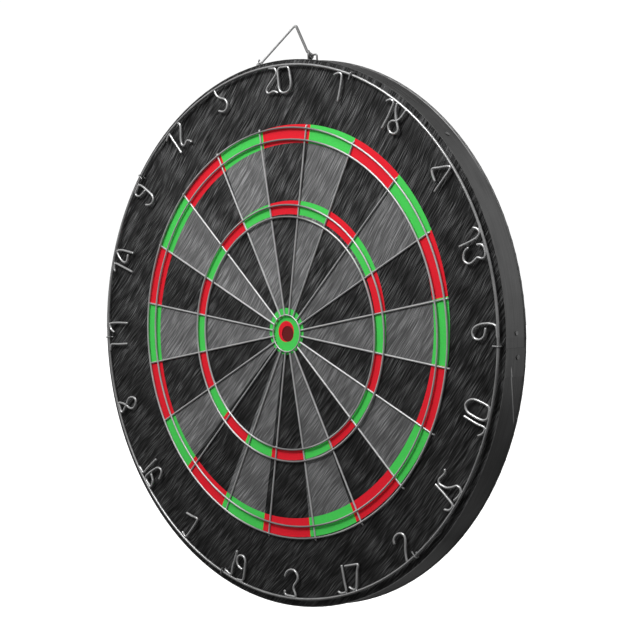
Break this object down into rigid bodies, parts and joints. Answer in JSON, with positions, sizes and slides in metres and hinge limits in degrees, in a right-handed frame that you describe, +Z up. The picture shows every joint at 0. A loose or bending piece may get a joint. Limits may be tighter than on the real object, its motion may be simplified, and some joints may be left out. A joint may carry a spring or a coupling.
{
  "type": "dartboard",
  "caption": "Round dartboard with a wire cage over a printed facing, a turning wire number ring in clips, a steel rim band and a folding wire hanger.",
  "frame": {"origin": "centre of the back, in the plane that lies against the wall", "axes": "+Z up to the hanger, +X to the player's right, -Y out of the face towards the player, so +Y goes into the wall"},
  "size_m": [0.4526, 0.0299, 0.4834],
  "materials": {
    "wound_paper": "matte wound paper",
    "plug_paint": "matte dark red paint",
    "printed_facing": "satin print in black, grey, red and green",
    "fibreboard": "raw hardboard",
    "rim_steel": "satin black paint",
    "nail_steel": "bright",
    "spider_wire": "galvanised wire",
    "clip_wire": "galvanised wire",
    "number_wire": "galvanised wire",
    "hanger_wire": "galvanised wire"
  },
  "bodies": {
    "board": {"wound_core": "wound_paper", "centre_plug": "plug_paint", "face_sheet": "printed_facing", "backing_board": "fibreboard", "rim_band": "rim_steel", "band_nails": "nail_steel", "double_outer_wire": "spider_wire", "double_inner_wire": "spider_wire", "treble_outer_wire": "spider_wire", "treble_inner_wire": "spider_wire", "bull_ring_wire": "spider_wire", "radial_wires": "spider_wire", "number_ring_clips": "clip_wire", "hanger_eye_left": "hanger_wire", "hanger_eye_right": "hanger_wire"},
    "number_ring": {"number_hoop": "number_wire", "numeral_01": "number_wire", "numeral_02": "number_wire", "numeral_03": "number_wire", "numeral_04": "number_wire", "numeral_05": "number_wire", "numeral_06": "number_wire", "numeral_07": "number_wire", "numeral_08": "number_wire", "numeral_09": "number_wire", "numeral_10": "number_wire", "numeral_11": "number_wire", "numeral_12": "number_wire", "numeral_13": "number_wire", "numeral_14": "number_wire", "numeral_15": "number_wire", "numeral_16": "number_wire", "numeral_17": "number_wire", "numeral_18": "number_wire", "numeral_19": "number_wire", "numeral_20": "number_wire"},
    "hanger": {"hanger_bail": "hanger_wire"}
  },
  "joints": [
    {"name": "hanger_fold", "type": "hinge", "parent": "board", "child": "hanger", "pos_m": [-0.00728, -0.0122, 0.22768], "axis": [0.9995, 0, 0.0319], "range_deg": [-64, 98]},
    {"name": "number_ring_turn", "type": "hinge", "parent": "board", "child": "number_ring", "pos_m": [0, -0.0272, 0.0011], "axis": [0, 1, 0], "continuous": true}
  ]
}
